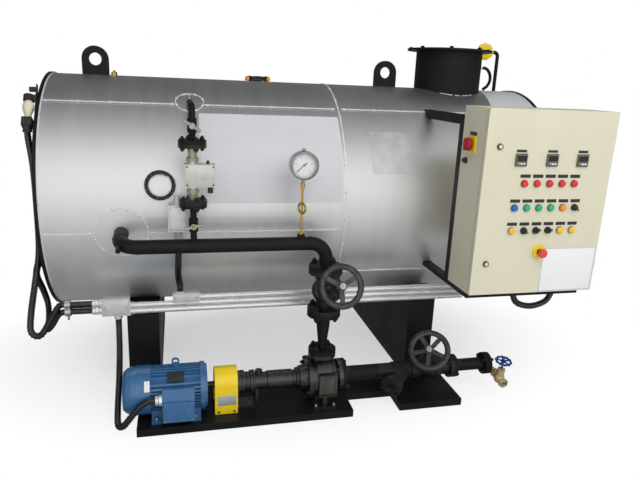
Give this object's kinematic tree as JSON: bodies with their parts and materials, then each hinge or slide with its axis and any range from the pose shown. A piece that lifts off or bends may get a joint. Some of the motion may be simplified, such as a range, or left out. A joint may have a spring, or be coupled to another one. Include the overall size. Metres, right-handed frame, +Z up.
{
  "type": "thermal fluid heater",
  "caption": "Horizontal thermal fluid heater on two saddles with flue stub, circulation pump and motor, valve train, bypass flow switch and a side-mounted control cabinet.",
  "frame": {"origin": "floor level, below the centre of the rigid part's bounding box", "axes": "+X along the drum towards the flue end, +Y away from the pump and cabinet side, +Z up"},
  "size_m": [2.511, 1.578, 1.734],
  "materials": {
    "cladding": "satin sheet",
    "black_steel": "satin black paint",
    "cast_iron": "dark painted casting",
    "bright_steel": "bright",
    "guard_yellow": "gloss yellow paint",
    "motor_blue": "semi-gloss blue paint",
    "bronze": "bare",
    "wheel_blue": "blue paint",
    "nickel": "nickel plate",
    "gauge_metal": "polished",
    "cast_aluminium": "cast",
    "black_hose": "ribbed black",
    "cabinet_cream": "fine powder coat",
    "dark_plastic": "matt",
    "button_plastic": "gloss",
    "signal_red": "gloss",
    "lamp_cream": "gloss"
  },
  "bodies": {
    "heater": {"cladding_left": "cladding", "cladding_right": "cladding", "end_plate_left": "black_steel", "end_plate_right": "black_steel", "saddle_left": "black_steel", "saddle_right": "black_steel", "pump_skid": "black_steel", "right_foot_plate": "black_steel", "link_plate": "black_steel", "flue": "black_steel", "lifting_lugs": "black_steel", "header_pipe": "black_steel", "discharge_valve": "cast_iron", "riser": "black_steel", "pump_casing": "cast_iron", "bearing_bracket": "cast_iron", "coupling_guard": "guard_yellow", "motor_frame": "motor_blue", "motor_fan_cover": "motor_blue", "motor_terminal_box": "motor_blue", "suction_pipe": "black_steel", "strainer": "cast_iron", "suction_valve": "cast_iron", "return_pipe": "black_steel", "drain_valve": "bronze", "bypass_lower": "black_steel", "flow_switch": "nickel", "bypass_upper": "black_steel", "pressure_gauge": "gauge_metal", "gauge_siphon": "bronze", "sensor_head": "cast_aluminium", "cable_coil": "black_hose", "conduits": "bright_steel", "conduit_boxes": "cast_aluminium", "hose_clip": "bright_steel", "cabinet_body": "cabinet_cream", "cabinet_bracket": "black_steel", "isolator_plate": "guard_yellow", "vent_pipe": "black_steel", "vent_cap": "guard_yellow", "lamp_socket": "dark_plastic", "lamp_bulb": "lamp_cream", "motor_hose": "black_hose", "burner_hose": "black_hose", "pilot_hose": "black_hose", "sensor_hose": "black_hose", "cabinet_hose": "black_hose"},
    "door": {"cabinet_door": "cabinet_cream", "door_controllers": "dark_plastic", "door_buttons": "button_plastic", "emergency_stop": "signal_red"},
    "isolator": {"isolator_handle": "signal_red"},
    "discharge_wheel": {"discharge_handwheel": "cast_iron"},
    "suction_wheel": {"suction_handwheel": "cast_iron"},
    "drain_wheel": {"drain_handwheel": "wheel_blue"},
    "upper_cock": {"upper_lever": "bright_steel"},
    "lower_cock": {"lower_lever": "bright_steel"},
    "shaft": {"shaft_coupling": "bright_steel"}
  },
  "joints": [
    {"name": "door_hinge", "type": "hinge", "parent": "heater", "child": "door", "pos_m": [1.2, -0.7255, 1.024], "axis": [0, 0, 1], "range_deg": [0, 120]},
    {"name": "isolator_turn", "type": "hinge", "parent": "heater", "child": "isolator", "pos_m": [0.591, -0.63291, 1.26216], "axis": [-1, 0, 0], "range_deg": [0, 90]},
    {"name": "discharge_wheel_turn", "type": "hinge", "parent": "heater", "child": "discharge_wheel", "pos_m": [0.024, -0.73593, 0.69214], "axis": [0, -0.9205, 0.3907], "continuous": true},
    {"name": "suction_wheel_turn", "type": "hinge", "parent": "heater", "child": "suction_wheel", "pos_m": [0.47686, -0.65855, 0.33681], "axis": [-0.3907, -0.6509, 0.6509], "continuous": true},
    {"name": "drain_wheel_turn", "type": "hinge", "parent": "heater", "child": "drain_wheel", "pos_m": [0.922, -0.56645, 0.20389], "axis": [0, -0.1736, 0.9848], "continuous": true},
    {"name": "upper_cock_turn", "type": "hinge", "parent": "heater", "child": "upper_cock", "pos_m": [-0.551, -0.50975, 1.29996], "axis": [0, -1, 0], "range_deg": [-58, 32]},
    {"name": "lower_cock_turn", "type": "hinge", "parent": "heater", "child": "lower_cock", "pos_m": [-0.551, -0.50975, 0.89274], "axis": [0, -1, 0], "range_deg": [-14, 76]},
    {"name": "pump_shaft_turn", "type": "hinge", "parent": "heater", "child": "shaft", "pos_m": [-0.422, -0.47175, 0.15], "axis": [1, 0, 0], "continuous": true}
  ]
}
